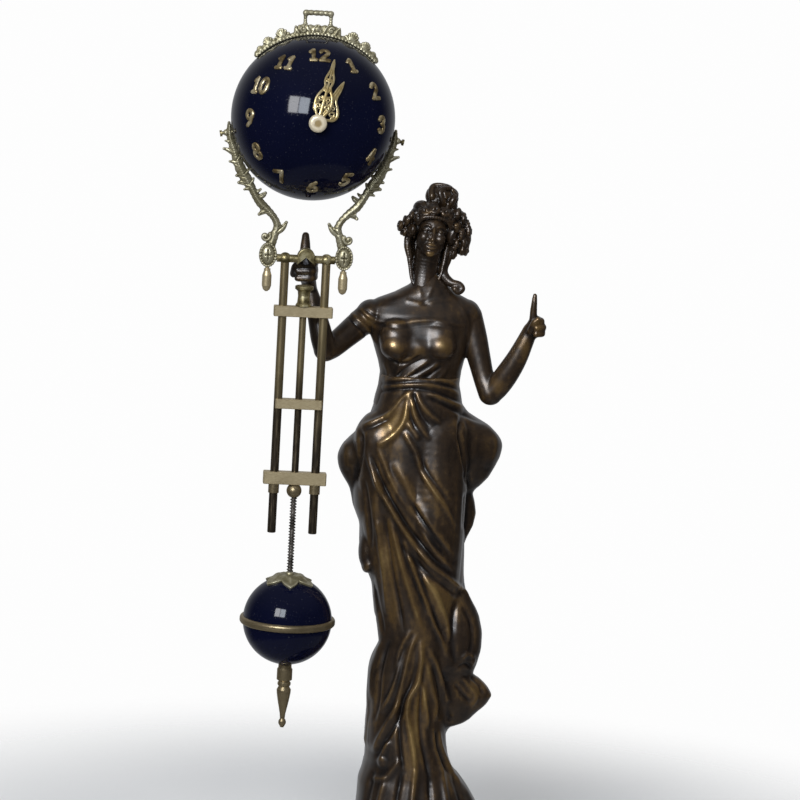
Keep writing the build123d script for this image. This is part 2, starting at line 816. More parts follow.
# Crossbar: a round bar with a boss over the stud and a socket over each side rod
rod_x = rod_spacing / 2
bar_end = rosette_x - rosette_width / 2
socket_bottom = crossbar_level - socket_diameter / 2
with BuildPart() as crossbar:
    with BuildSketch(Plane.YZ.offset(pivot_x - bar_end)):
        with Locations((pivot_y, pivot_height + crossbar_level)):
            Circle(crossbar_diameter / 2)
    extrude(amount=2 * bar_end)
    with BuildSketch(Plane.YZ.offset(pivot_x - bar_end - crossbar_spigot_length)):
        with Locations((pivot_y, pivot_height + crossbar_level)):
            Circle(crossbar_spigot / 2)
    extrude(amount=2 * (bar_end + crossbar_spigot_length))
    for side in (-1, 1):
        with Locations(from_pivot(side * rod_x, 0, crossbar_level)):
            Sphere(socket_diameter / 2)
    with BuildSketch(swing_plane(-centre_boss_depth / 2)):
        Circle(centre_boss_diameter / 2)
        Polygon(
            (-centre_boss_diameter / 2, 0),
            (centre_boss_diameter / 2, 0),
            (centre_boss_diameter / 2 + slip_gap, -centre_boss_leg),
            (-centre_boss_diameter / 2 - slip_gap, -centre_boss_leg),
        )
        with Locations((0, -centre_boss_leg - centre_boss_diameter / 2)):
            Rectangle(2 * centre_boss_diameter, centre_boss_diameter, mode=Mode.SUBTRACT)
    extrude(amount=centre_boss_depth)
    fillet(crossbar.edges().filter_by(GeomType.CIRCLE).filter_by(
        lambda edge: abs(edge.radius - centre_boss_diameter / 2) < slip_gap), crossbar_drop / 2)
    notch_depth = centre_boss_leg + overrun
    notch_spread = notch_depth * sin(radians(notch_angle)) / cos(radians(notch_angle))
    with BuildSketch(swing_plane(-centre_boss_depth)):
        Polygon((0, 0), (-notch_spread, -notch_depth), (notch_spread, -notch_depth))
    extrude(amount=2 * centre_boss_depth, mode=Mode.SUBTRACT)
    for side in (-1, 1):
        with BuildSketch(level_plane(crossbar_drop + socket_diameter / 2 + overrun, side * rod_x)):
            Circle(side_rod_diameter / 2 + seat_gap)
        extrude(amount=overrun + side_rod_socket, mode=Mode.SUBTRACT)
hand_in(crossbar, "crossbar")

# Brackets: stations of x, z and half width of the right scroll, as shares of the ball's diameter
scroll_shares = [
    (0.229, 0.035, 0.031),
    (0.203, 0.128, 0.025),
    (0.185, 0.185, 0.022),
    (0.207, 0.233, 0.019),
    (0.250, 0.280, 0.019),
    (0.294, 0.319, 0.019),
    (0.325, 0.374, 0.021),
    (0.352, 0.416, 0.024),
    (0.401, 0.458, 0.030),
    (0.443, 0.530, 0.024),
    (0.483, 0.591, 0.021),
    (0.513, 0.661, 0.017),
    (0.528, 0.735, 0.017),
    (0.530, 0.801, 0.009),
]
scroll_branch_shares = [
    [(0.198, 0.128, 0.016), (0.154, 0.175, 0.010), (0.133, 0.205, 0.007)],
    [(0.213, 0.122, 0.016), (0.241, 0.112, 0.030)],
    [(0.250, 0.280, 0.014), (0.308, 0.250, 0.007)],
    [(0.315, 0.359, 0.014), (0.266, 0.380, 0.008)],
    [(0.376, 0.437, 0.019), (0.443, 0.434, 0.008)],
    [(0.483, 0.591, 0.016), (0.539, 0.618, 0.007)],
]
scroll_stations = [tuple(share * ball_diameter for share in row) for row in scroll_shares]
ball_middle = from_pivot(0, 0, ball_rise)
ball_location = Location(ball_middle, (90, 0, -90))
pad_station = scroll_stations[-2]
pad_angle = degrees(atan2(pad_station[1] - ball_rise, pad_station[0]))
pad_out = hypot(pad_station[0], pad_station[1] - ball_rise) + pad_station[2] + running_gap


def pad_plane(side, out):
    """A plane square to the ball at the bracket's pad, at a distance from the ball's middle."""
    direction = Vector(side * cos(radians(pad_angle)), 0, sin(radians(pad_angle)))
    return Plane(origin=Vector(*ball_middle) + direction * out, x_dir=(0, 1, 0), z_dir=direction)


with BuildPart() as bracket_right:
    with BuildSketch(swing_plane(-bracket_depth / 2)):
        limb_chain(scroll_stations)
        for branch in scroll_branch_shares:
            limb_chain([tuple(share * ball_diameter for share in row) for row in branch])
    extrude(amount=bracket_depth)
    with BuildSketch(swing_plane(-rosette_depth / 2, rosette_x, crossbar_level)):
        Ellipse(rosette_width / 2, rosette_height / 2)
    extrude(amount=rosette_depth)
    chamfer(bracket_right.faces().sort_by(Axis.Y)[0].edges(), rosette_button_rise)
    with BuildSketch(swing_plane(rosette_depth / 2, rosette_x, crossbar_level)):
        Circle(rosette_button / 2)
    extrude(amount=rosette_button_rise)
    with BuildSketch(pad_plane(1, ball_radius)):
        Circle(bracket_pad_diameter / 2)
    extrude(amount=pad_out - ball_radius)
    with Locations(ball_location):
        Sphere(ball_radius + seat_gap, mode=Mode.SUBTRACT)
    with BuildSketch(Plane.YZ.offset(pivot_x)):
        with Locations((pivot_y, pivot_height + crossbar_level)):
            Circle(crossbar_spigot / 2 + seat_gap)
    extrude(amount=bar_end + crossbar_spigot_length, mode=Mode.SUBTRACT)
    with BuildSketch(level_plane(crossbar_drop + rosette_height, rosette_x)):
        Circle(drop_spigot / 2 + seat_gap)
    extrude(amount=rosette_height / 2 + drop_spigot_length, mode=Mode.SUBTRACT)
    with BuildSketch(pad_plane(1, shell_inner)):
        Circle(bracket_screw_diameter / 2 + seat_gap)
    extrude(amount=ball_radius, mode=Mode.SUBTRACT)
hand_in(bracket_right, "bracket_right")

with BuildPart() as bracket_left:
    mirror(bracket_right.part, about=Plane.YZ.offset(pivot_x))
hand_in(bracket_left, "bracket_left")

drop_top = crossbar_level - rosette_height / 2
drop_shares = [(0.70, 0.10), (1.0, 0.30), (1.0, 0.75), (0.72, 0.92), (0.24, 1.0)]
with BuildPart() as drop_finials:
    for side in (-1, 1):
        turned(
            swing_plane(0, side * rosette_x, drop_top),
            [
                (drop_spigot / 2, drop_spigot_length),
                (drop_spigot / 2, 0),
                (drop_neck / 2, 0),
                *[(width * drop_diameter / 2, -down * drop_length) for width, down in drop_shares],
            ],
        )
hand_in(drop_finials, "drop_finials")

with BuildPart() as bracket_screws:
    for side in (-1, 1):
        shank = pad_out - ball_radius + bracket_screw_sink
        add_disc(pad_plane(side, ball_radius - bracket_screw_sink), bracket_screw_diameter / 2, shank)
        add_disc(pad_plane(side, pad_out), bracket_screw_head / 2, bracket_screw_head_height)
hand_in(bracket_screws, "bracket_screws")

# Side rods and centre rod
side_rod_top = crossbar_drop + socket_diameter / 2 - side_rod_socket
with BuildPart() as side_rods:
    with BuildSketch(level_plane(side_rod_end_drop)):
        with Locations((-rod_x, 0), (rod_x, 0)):
            Circle(side_rod_diameter / 2)
    extrude(amount=side_rod_end_drop - side_rod_top)
    chamfer(side_rods.edges().group_by(Axis.Z)[0], cross_piece_edge / 2)
hand_in(side_rods, "side_rods")

spool_bottom = upper_piece_drop - upper_piece_height / 2
spool_top = spool_bottom - spool_height
lower_piece_bottom = lower_piece_drop + lower_piece_height / 2
centre_rod_top = spool_top + spool_flange_height
with BuildPart() as centre_rod:
    with BuildSketch(level_plane(lower_piece_bottom)):
        Circle(centre_rod_diameter / 2)
    extrude(amount=lower_piece_bottom - centre_rod_top)
hand_in(centre_rod, "centre_rod")

spool_shares = [
    (0.88, 0.0),
    (0.88, 0.06),
    (0.71, 0.18),
    (0.65, 0.50),
    (0.71, 0.72),
    (1.0, 0.83),
    (1.0, 0.96),
    (0.84, 1.0),
]
with BuildPart() as spool_finial:
    turned(
        swing_plane(0, 0, -spool_bottom),
        [(width * spool_flange_diameter / 2, up * spool_height) for width, up in spool_shares],
    )
    with BuildSketch(level_plane(spool_bottom)):
        Circle(centre_rod_diameter / 2 + seat_gap)
    extrude(amount=spool_bottom - centre_rod_top, mode=Mode.SUBTRACT)
hand_in(spool_finial, "spool_finial")

cross_pieces = [
    ("cross_piece_upper", upper_piece_drop, upper_piece_width, upper_piece_height),
    ("cross_piece_middle", middle_piece_drop, middle_piece_width, middle_piece_height),
    ("cross_piece_lower", lower_piece_drop, lower_piece_width, lower_piece_height),
]
for name, drop, width, height in cross_pieces:
    with BuildPart() as cross_piece:
        with BuildSketch(level_plane(drop + height / 2)):
            Rectangle(width, cross_piece_depth)
        extrude(amount=height)
        chamfer(cross_piece.edges().filter_by(Axis.Z), cross_piece_edge)
        levels = cross_piece.edges().group_by(Axis.Z)
        chamfer(levels[-1] + levels[0], cross_piece_edge / 2)
        with BuildSketch(level_plane(drop + height)):
            Circle(centre_rod_diameter / 2 + seat_gap)
            with Locations((-rod_x, 0), (rod_x, 0)):
                Circle(side_rod_diameter / 2 + seat_gap)
        extrude(amount=2 * height, mode=Mode.SUBTRACT)
    hand_in(cross_piece, name)

with BuildPart() as rod_ferrules:
    for side in (-1, 1):
        with BuildSketch(level_plane(lower_piece_bottom + ferrule_length, side * rod_x)) as ferrule:
            Circle(ferrule_diameter / 2)
            Circle(side_rod_diameter / 2 + seat_gap, mode=Mode.SUBTRACT)
        extrude(amount=ferrule_length)
hand_in(rod_ferrules, "rod_ferrules")

bead_drop = lower_piece_bottom + bead_diameter / 2 - bead_flat
with BuildPart() as bead_nut:
    with Locations(from_pivot(0, 0, -bead_drop)):
        Sphere(bead_diameter / 2)
    split(bisect_by=level_plane(lower_piece_bottom), keep=Keep.BOTTOM)
    with BuildSketch(level_plane(bead_drop + bead_diameter)):
        Circle(screw_diameter / 2 + seat_gap)
    extrude(amount=2 * bead_diameter, mode=Mode.SUBTRACT)
hand_in(bead_nut, "bead_nut")

# Rating screw: its thread is a stack of V grooves of one pitch
nut_top = bob_drop + bob_radius
screw_bottom = nut_top + nut_bore_depth - bob_travel - running_gap
thread_top = bead_drop + bead_diameter / 2
thread_turns = int((screw_bottom - thread_top - screw_blank) / thread_pitch)
with BuildPart() as rating_screw:
    with BuildSketch(swing_plane()) as screw_profile:
        crests = [(0, -lower_piece_bottom), (screw_core / 2, -lower_piece_bottom)]
        crests.append((screw_core / 2, -thread_top))
        for i in range(thread_turns):
            turn_top = -thread_top - i * thread_pitch
            crests.append((screw_diameter / 2, turn_top - thread_pitch / 2))
            crests.append((screw_core / 2, turn_top - thread_pitch))
        crests.append((screw_core / 2, -screw_bottom))
        crests.append((0, -screw_bottom))
        Polygon(*crests)
    revolve(axis=Axis((pivot_x, pivot_y, 0), upward))
hand_in(rating_screw, "rating_screw")


# Ball: the front shell with the dial, the back cover that snaps into it, and the ring inside
opening_plane = ball_plane(-back_opening_depth)
with BuildPart() as ball_shell:
    with Locations(ball_location):
        Sphere(ball_radius)
        Sphere(shell_inner, mode=Mode.SUBTRACT)
    split(bisect_by=opening_plane, keep=Keep.TOP)
    with BuildSketch(ball_plane()):
        Circle(dial_hole_diameter / 2)
    extrude(amount=ball_diameter, mode=Mode.SUBTRACT)
    for side in (-1, 1):
        with BuildSketch(pad_plane(side, shell_inner - shell_wall)):
            Circle(bracket_screw_diameter / 2 + seat_gap)
        extrude(amount=ball_radius, mode=Mode.SUBTRACT)
hand_in(ball_shell, "ball_shell")

with BuildPart() as cover_lip:
    with Locations(ball_location):
        Sphere(shell_inner - seat_gap)
        Sphere(shell_inner - back_lip_wall, mode=Mode.SUBTRACT)
    split(bisect_by=opening_plane.offset(back_lip_length), keep=Keep.BOTTOM)
    split(bisect_by=opening_plane.offset(-back_lip_length), keep=Keep.TOP)
with BuildPart() as back_cover:
    with Locations(ball_location):
        Sphere(ball_radius)
        Sphere(shell_inner - 2 * seat_gap, mode=Mode.SUBTRACT)
    split(bisect_by=opening_plane, keep=Keep.BOTTOM)
    add(cover_lip.part)
hand_in(back_cover, "back_cover")

girdle_bore = shell_inner - girdle_wall
plate_screw_circle = girdle_bore + plate_screw_inset
with BuildPart() as girdle_ring:
    with Locations(ball_location):
        Sphere(shell_inner - seat_gap)
    split(bisect_by=ball_plane(-girdle_back), keep=Keep.TOP)
    split(bisect_by=ball_plane(front_plate_back), keep=Keep.BOTTOM)
    with BuildSketch(ball_plane(-ball_radius)):
        Circle(girdle_bore)
    extrude(amount=ball_diameter, mode=Mode.SUBTRACT)
    for side in (-1, 1):
        with BuildSketch(pad_plane(side, ball_radius - bracket_screw_sink)):
            Circle(bracket_screw_diameter / 2 + seat_gap)
        extrude(amount=bracket_screw_sink, mode=Mode.SUBTRACT)
    with BuildSketch(ball_plane(front_plate_back)):
        with Locations(*circle_points(plate_screw_circle, plate_screw_count)):
            Circle(plate_screw_diameter / 2 + seat_gap)
    extrude(amount=-plate_screw_reach, mode=Mode.SUBTRACT)
hand_in(girdle_ring, "girdle_ring")


# Crest: a band over the top of the ball with leaf lobes and a block that carries the handle
crest_lobe_shares = [(14.0, 0.085), (22.0, 0.078), (30.0, 0.070), (37.0, 0.060), (43.0, 0.050)]
crest_span_angle = 47.0
crest_inner = ball_radius + crest_foot
crest_outer = crest_inner + crest_band


def on_ball(angle, radius):
    """A place on a circle round the ball, its angle measured from the top."""
    return (radius * sin(radians(angle)), radius * cos(radians(angle)))


block_top = crest_inner + crest_block_height
handle_foot = block_top - handle_seat
leg_x = handle_leg_spacing / 2
with BuildPart() as crest:
    with BuildSketch(ball_plane(-crest_depth / 2)):
        with BuildLine():
            band_left = on_ball(-crest_span_angle, crest_inner)
            band_right = on_ball(crest_span_angle, crest_inner)
            ThreePointArc(band_left, on_ball(0, crest_inner), band_right)
            Line(band_right, on_ball(crest_span_angle, crest_outer))
            outer_left = on_ball(-crest_span_angle, crest_outer)
            outer_right = on_ball(crest_span_angle, crest_outer)
            ThreePointArc(outer_right, on_ball(0, crest_outer), outer_left)
            Line(outer_left, band_left)
        make_face()
        for angle, share in crest_lobe_shares:
            with Locations(on_ball(angle, crest_outer), on_ball(-angle, crest_outer)):
                Circle(share * ball_radius)
        with Locations((0, (ball_radius + block_top) / 2)):
            Rectangle(crest_block_width, block_top - ball_radius)
        Circle(crest_inner, mode=Mode.SUBTRACT)
    extrude(amount=crest_depth)
    with BuildSketch(ball_plane(-crest_depth / 2, 0, block_top)):
        with Locations((-crest_block_width / 2, 0), (crest_block_width / 2, 0)):
            Circle(crest_band)
        Circle(crest_band)
        with Locations((0, -block_top / 2 - crest_band / 2)):
            Rectangle(2 * crest_block_width, block_top, mode=Mode.SUBTRACT)
    for side in (-1, 1):
        with BuildSketch(Plane.XY.offset(ball_height + block_top)):
            with Locations((pivot_x + side * leg_x, pivot_y)):
                Circle(handle_wire / 2 + seat_gap)
        extrude(amount=-handle_seat, mode=Mode.SUBTRACT)
hand_in(crest, "crest")

handle_foot_share = 0.4
bar_z = block_top + handle_height - handle_wire / 2
bail_x = handle_width / 2 - handle_bead / 2
with BuildPart() as top_handle:
    for side in (-1, 1):
        add_round_bar(
            Vector(*from_pivot(side * leg_x, 0, ball_rise + block_top)),
            handle_foot_share * handle_wire,
            Vector(*from_pivot(side * bail_x, 0, ball_rise + bar_z)),
            handle_wire / 2,
        )
        with BuildSketch(Plane.XY.offset(ball_height + handle_foot)):
            with Locations((pivot_x + side * leg_x, pivot_y)):
                Circle(handle_wire / 2)
        extrude(amount=handle_seat + handle_wire / 2)
        with Locations(from_pivot(side * bail_x, 0, ball_rise + bar_z)):
            Sphere(handle_bead / 2)
    add_round_bar(
        Vector(*from_pivot(-bail_x, 0, ball_rise + bar_z)),
        handle_wire / 2,
        Vector(*from_pivot(bail_x, 0, ball_rise + bar_z)),
        handle_wire / 2,
    )
hand_in(top_handle, "top_handle")

# Numerals: strokes of each digit as shares of its height, bars by two ends, rings by middle and reach,
# arcs by middle, radius and two angles
digit_shares = {
    "0": [("ring", 0.0, 0.0, 0.22, 0.41)],
    "1": [
        ("bar", 0.0, 0.41, 0.0, -0.41),
        ("bar", 0.0, 0.41, -0.16, 0.24),
        ("bar", -0.14, -0.41, 0.14, -0.41),
    ],
    "2": [
        ("arc", 0.0, 0.20, 0.21, -30, 170),
        ("bar", 0.18, 0.09, -0.22, -0.41),
        ("bar", -0.22, -0.41, 0.24, -0.41),
    ],
    "3": [("arc", -0.01, 0.21, 0.20, -80, 160), ("arc", -0.01, -0.20, 0.22, -160, 85)],
    "4": [
        ("bar", 0.10, 0.41, -0.24, -0.12),
        ("bar", -0.24, -0.12, 0.26, -0.12),
        ("bar", 0.10, 0.41, 0.10, -0.41),
    ],
    "5": [
        ("bar", 0.22, 0.41, -0.16, 0.41),
        ("bar", -0.16, 0.41, -0.18, 0.04),
        ("arc", -0.01, -0.16, 0.24, -140, 130),
    ],
    "6": [
        ("ring", 0.0, -0.18, 0.22, 0.23),
        ("bar", -0.21, -0.14, -0.08, 0.22),
        ("bar", -0.08, 0.22, 0.16, 0.41),
    ],
    "7": [("bar", -0.22, 0.41, 0.24, 0.41), ("bar", 0.24, 0.41, -0.04, -0.41)],
    "8": [("ring", 0.0, 0.21, 0.18, 0.20), ("ring", 0.0, -0.20, 0.22, 0.21)],
    "9": [
        ("ring", 0.0, 0.18, 0.22, 0.23),
        ("bar", 0.21, 0.14, 0.08, -0.22),
        ("bar", 0.08, -0.22, -0.16, -0.41),
    ],
}
numeral_radius = numeral_stroke / 2
arc_count = 6


def draw_digit(digit, x_offset):
    """Adds the strokes of one digit to the sketch that is open."""
    for kind, x, y, *rest in digit_shares[digit]:
        place = (x_offset + x * numeral_height, y * numeral_height)
        if kind == "bar":
            end = (x_offset + rest[0] * numeral_height, rest[1] * numeral_height)
            limb(place, numeral_radius, end, numeral_radius)
        elif kind == "ring":
            with Locations(place):
                Ellipse(rest[0] * numeral_height + numeral_radius, rest[1] * numeral_height + numeral_radius)
        else:
            reach, start, end = rest
            turns = [radians(start + (end - start) * i / arc_count) for i in range(arc_count + 1)]
            out = reach * numeral_height
            path = [(place[0] + out * cos(turn), place[1] + out * sin(turn)) for turn in turns]
            for first, second in zip(path, path[1:]):
                limb(first, numeral_radius, second, numeral_radius)


def cut_rings(digit, x_offset):
    """Opens the rings of one digit in the sketch that is open."""
    for kind, x, y, *rest in digit_shares[digit]:
        if kind == "ring":
            with Locations((x_offset + x * numeral_height, y * numeral_height)):
                Ellipse(
                    rest[0] * numeral_height - numeral_radius,
                    rest[1] * numeral_height - numeral_radius,
                    mode=Mode.SUBTRACT,
                )


def dial_plane(hour, radius):
    """A plane that touches the ball where an hour's numeral stands, its y up the ball."""
    around = radians(30 * hour)
    away = radians(numeral_angle)
    out = Vector(sin(away) * sin(around), -cos(away), sin(away) * cos(around))
    level = Vector(0, 0, 1).cross(out)
    return Plane(origin=Vector(*ball_middle) + out * radius, x_dir=level, z_dir=out)


digit_pitch_share = 0.6
numeral_depth = numeral_height**2 / ball_diameter
with BuildPart() as numerals:
    for hour in range(1, 13):
        text = str(hour)
        for i, digit in enumerate(text):
            offset = (i - (len(text) - 1) / 2) * digit_pitch_share * numeral_height
            with BuildSketch(dial_plane(hour, ball_radius - numeral_depth)) as figure:
                draw_digit(digit, offset)
                cut_rings(digit, offset)
            extrude(figure.sketch, amount=numeral_depth + numeral_thickness + overrun)
    with Locations(ball_location):
        Sphere(ball_radius + numeral_thickness, mode=Mode.INTERSECT)
        Sphere(ball_radius + seat_gap, mode=Mode.SUBTRACT)
hand_in(numerals, "numerals")


# Movement plates, pillars and their fastenings
pillar_start_angle = 45.0
pillar_count = 4
front_plate_radius = sqrt(shell_inner**2 - front_plate_front**2) - front_plate_gap
back_plate_radius = girdle_bore - back_plate_gap
pillar_places = circle_points(back_plate_radius - pillar_inset, pillar_count, pillar_start_angle)
arbor_bore = arbor_diameter / 2 + slip_gap
pivot_bore = pivot_diameter / 2 + slip_gap
winding_bore = winding_arbor_diameter / 2 + slip_gap
pillar_bore = pillar_screw / 2 + seat_gap
minute_stud_length = 2 * motion_wheel_gap + 2 * motion_wheel_thickness
with BuildPart() as front_plate:
    with BuildSketch(ball_plane(front_plate_back)):
        Circle(front_plate_radius)
        with Locations(*pillar_places):
            Circle(pillar_bore, mode=Mode.SUBTRACT)
        with Locations(*circle_points(plate_screw_circle, plate_screw_count)):
            Circle(plate_screw_diameter / 2 + seat_gap, mode=Mode.SUBTRACT)
        with Locations(intermediate_spot, third_spot, escape_spot, anchor_spot):
            Circle(pivot_bore, mode=Mode.SUBTRACT)
        with Locations(centre_spot):
            Circle(arbor_bore, mode=Mode.SUBTRACT)
        with Locations(barrel_spot):
            Circle(winding_bore, mode=Mode.SUBTRACT)
    extrude(amount=plate_thickness)
    with BuildSketch(ball_plane(front_plate_front)):
        with Locations(minute_spot):
            Circle(arbor_diameter / 2)
    extrude(amount=minute_stud_length)
hand_in(front_plate, "front_plate")

click_stud = (
    barrel_spot[0] + click_distance * cos(radians(click_bearing)),
    barrel_spot[1] + click_distance * sin(radians(click_bearing)),
)
with BuildPart() as back_plate:
    with BuildSketch(ball_plane(-back_plate_back)):
        Circle(back_plate_radius)
        with Locations(*pillar_places):
            Circle(pillar_bore, mode=Mode.SUBTRACT)
        with Locations(intermediate_spot, third_spot, escape_spot):
            Circle(pivot_bore, mode=Mode.SUBTRACT)
        with Locations(centre_spot, anchor_spot):
            Circle(arbor_bore, mode=Mode.SUBTRACT)
        with Locations(barrel_spot):
            Circle(winding_bore, mode=Mode.SUBTRACT)
    extrude(amount=plate_thickness)
    with BuildSketch(ball_plane(-back_plate_back)):
        with Locations(click_stud):
            Circle(click_screw_diameter / 2)
    extrude(amount=-running_gap - ratchet_thickness)
hand_in(back_plate, "back_plate")

with BuildPart() as movement_pillars:
    with BuildSketch(ball_plane(-back_plate_front)):
        with Locations(*pillar_places):
            Circle(pillar_diameter / 2)
    extrude(amount=back_plate_front + front_plate_back)
    with BuildSketch(ball_plane(-back_plate_back - pillar_nut_height)):
        with Locations(*pillar_places):
            Circle(pillar_screw / 2)
    extrude(amount=back_plate_back + front_plate_front + 2 * pillar_nut_height)
hand_in(movement_pillars, "movement_pillars")

with BuildPart() as pillar_nuts:
    for back in (-back_plate_back - pillar_nut_height, front_plate_front):
        with BuildSketch(ball_plane(back)):
            with Locations(*pillar_places):
                RegularPolygon(pillar_nut_diameter / 2, 6)
                Circle(pillar_bore, mode=Mode.SUBTRACT)
        extrude(amount=pillar_nut_height)
hand_in(pillar_nuts, "pillar_nuts")

with BuildPart() as plate_screws:
    with BuildSketch(ball_plane(front_plate_back - plate_screw_reach + seat_gap)):
        with Locations(*circle_points(plate_screw_circle, plate_screw_count)):
            Circle(plate_screw_diameter / 2)
    extrude(amount=plate_screw_reach + plate_thickness)
    with BuildSketch(ball_plane(front_plate_front)):
        with Locations(*circle_points(plate_screw_circle, plate_screw_count)):
            Circle(plate_screw_head / 2)
    extrude(amount=plate_screw_head_height)
hand_in(plate_screws, "plate_screws")

# Spring barrel with the great wheel, its cap and the mainspring
barrel_face = ball_plane(0, *barrel_spot)
drum_front = great_wheel_front
drum_back = drum_front - barrel_depth
barrel_inner = barrel_diameter / 2 - barrel_wall
great_phase = bearing(barrel_spot, intermediate_spot)
with BuildPart() as spring_barrel:
    with BuildSketch(barrel_face.offset(great_wheel_front - wheel_thickness)):
        wheel_teeth(great_module, great_teeth, great_phase)
    extrude(amount=wheel_thickness)
    with BuildSketch(barrel_face.offset(drum_back)):
        Circle(barrel_diameter / 2)
    extrude(amount=drum_front - drum_back)
    with BuildSketch(barrel_face.offset(drum_back)):
        Circle(barrel_inner)
    extrude(amount=barrel_depth - wheel_thickness, mode=Mode.SUBTRACT)
    with BuildSketch(barrel_face.offset(drum_back)):
        Circle(winding_bore)
    extrude(amount=barrel_depth, mode=Mode.SUBTRACT)
hand_in(spring_barrel, "spring_barrel")

with BuildPart() as barrel_cap:
    with BuildSketch(barrel_face.offset(drum_back)):
        Circle(barrel_inner - seat_gap)
        Circle(winding_bore, mode=Mode.SUBTRACT)
    extrude(amount=barrel_cap_thickness)
hand_in(barrel_cap, "barrel_cap")

spring_pitch = mainspring_thickness + mainspring_space
spring_start = mainspring_core / 2
spring_turns = int((barrel_inner - mainspring_thickness - spring_start) / spring_pitch)
spring_back = (drum_back + barrel_cap_thickness + drum_front - wheel_thickness - mainspring_height) / 2
with BuildPart() as mainspring:
    with BuildSketch(barrel_face.offset(spring_back)):
        with BuildLine():
            for i in range(2 * spring_turns):
                half_radius = spring_start + i * spring_pitch / 2
                half_middle = 0 if i % 2 == 0 else spring_pitch / 2
                CenterArc((half_middle, 0), half_radius, 180 * (i % 2), 180)
        trace(line_width=mainspring_thickness)
    extrude(amount=mainspring_height)
hand_in(mainspring, "mainspring")

winding_end = -back_plate_back - winding_square_length
with BuildPart() as winding_arbor:
    with BuildSketch(barrel_face.offset(-back_plate_back - running_gap - ratchet_thickness)):
        Circle(winding_arbor_diameter / 2)
    extrude(amount=back_plate_back + running_gap + ratchet_thickness + front_plate_front)
    with BuildSketch(barrel_face.offset(winding_end)):
        Rectangle(winding_square, winding_square)
    extrude(amount=winding_square_length)
hand_in(winding_arbor, "winding_arbor")

ratchet_back = -back_plate_back - running_gap - ratchet_thickness
ratchet_step = 2 * pi / ratchet_teeth
ratchet_root = ratchet_diameter / 2 - ratchet_tooth
with BuildPart() as ratchet_wheel:
    with BuildSketch(barrel_face.offset(ratchet_back)):
        saw = []
        for i in range(ratchet_teeth):
            for radius in (ratchet_diameter / 2, ratchet_root):
                saw.append((radius * cos(i * ratchet_step), radius * sin(i * ratchet_step)))
        Polygon(*saw)
        Circle(winding_arbor_diameter / 2 + seat_gap, mode=Mode.SUBTRACT)
    extrude(amount=ratchet_thickness)
hand_in(ratchet_wheel, "ratchet_wheel")

nose_radius = click_width / 3
nose_distance = ratchet_diameter / 2 + running_gap + nose_radius
nose_bearing = click_bearing - degrees(click_length / click_distance)
click_nose = (
    nose_distance * cos(radians(nose_bearing)) + barrel_spot[0] - click_stud[0],
    nose_distance * sin(radians(nose_bearing)) + barrel_spot[1] - click_stud[1],
)
with BuildPart() as click:
    with BuildSketch(ball_plane(ratchet_back, *click_stud)):
        limb((0, 0), click_width / 2, click_nose, nose_radius)
        Circle(click_screw_diameter / 2 + slip_gap, mode=Mode.SUBTRACT)
    extrude(amount=ratchet_thickness)
hand_in(click, "click")


# Going train: each arbor is one turned piece with its lantern pinion and, but for the centre, its wheel
arbor_back = running_gap - back_plate_front
arbor_front = front_plate_back - running_gap
half_pin = 180 / lantern_pins
intermediate_face = ball_plane(0, *intermediate_spot)
with BuildPart() as intermediate_wheel:
    with BuildSketch(intermediate_face.offset(intermediate_wheel_front - wheel_thickness)):
        wheel_teeth(going_module, intermediate_teeth, bearing(intermediate_spot, centre_spot))
    extrude(amount=wheel_thickness)
    add_lantern(
        intermediate_face,
        great_module,
        great_wheel_front - wheel_thickness / 2 + lantern_length / 2,
        bearing(intermediate_spot, barrel_spot) + half_pin,
    )
    add_arbor(intermediate_face, arbor_back, arbor_front)
hand_in(intermediate_wheel, "intermediate_wheel")

third_face = ball_plane(0, *third_spot)
with BuildPart() as third_wheel:
    with BuildSketch(third_face.offset(third_wheel_front - wheel_thickness)):
        wheel_teeth(going_module, third_teeth, bearing(third_spot, escape_spot))
    extrude(amount=wheel_thickness)
    add_lantern(
        third_face,
        going_module,
        centre_wheel_front - wheel_thickness / 2 + lantern_length / 2,
        bearing(third_spot, centre_spot) + half_pin,
    )
    add_arbor(third_face, arbor_back, arbor_front)
hand_in(third_wheel, "third_wheel")

escape_face = ball_plane(0, *escape_spot)
escape_step = 2 * pi / escape_teeth
escape_gap_shares = (0.2, 0.8)
with BuildPart() as escape_wheel:
    with BuildSketch(escape_face.offset(escape_wheel_front - wheel_thickness)):
        points = []
        for i in range(escape_teeth):
            points.append((escape_diameter / 2, i * escape_step))
            for share in escape_gap_shares:
                points.append((escape_diameter / 2 - escape_tooth, (i + share) * escape_step))
        Polygon(*[(r * cos(a), r * sin(a)) for r, a in points])
    extrude(amount=wheel_thickness)
    add_lantern(
        escape_face,
        going_module,
        third_wheel_front - wheel_thickness / 2 + lantern_length / 2,
        bearing(escape_spot, third_spot) + half_pin,
    )
    add_arbor(escape_face, arbor_back, arbor_front)
hand_in(escape_wheel, "escape_wheel")

centre_face = ball_plane()
knob_front = -back_plate_back - winding_square_length / 2
hour_hand_back = ball_radius + hour_hand_lift
hour_hand_front = hour_hand_back + hand_thickness
minute_hand_back = hour_hand_front + hand_spacing
minute_hand_front = minute_hand_back + hand_thickness
centre_end = minute_hand_front + hub_height / 3
with BuildPart() as centre_arbor:
    with BuildSketch(centre_face.offset(knob_front - knob_length)):
        Circle(centre_arbor_diameter / 2)
    extrude(amount=centre_end - knob_front + knob_length)
    add_lantern(
        centre_face,
        going_module,
        intermediate_wheel_front - wheel_thickness / 2 + lantern_length / 2,
        bearing(centre_spot, intermediate_spot) + half_pin,
    )
hand_in(centre_arbor, "centre_arbor")

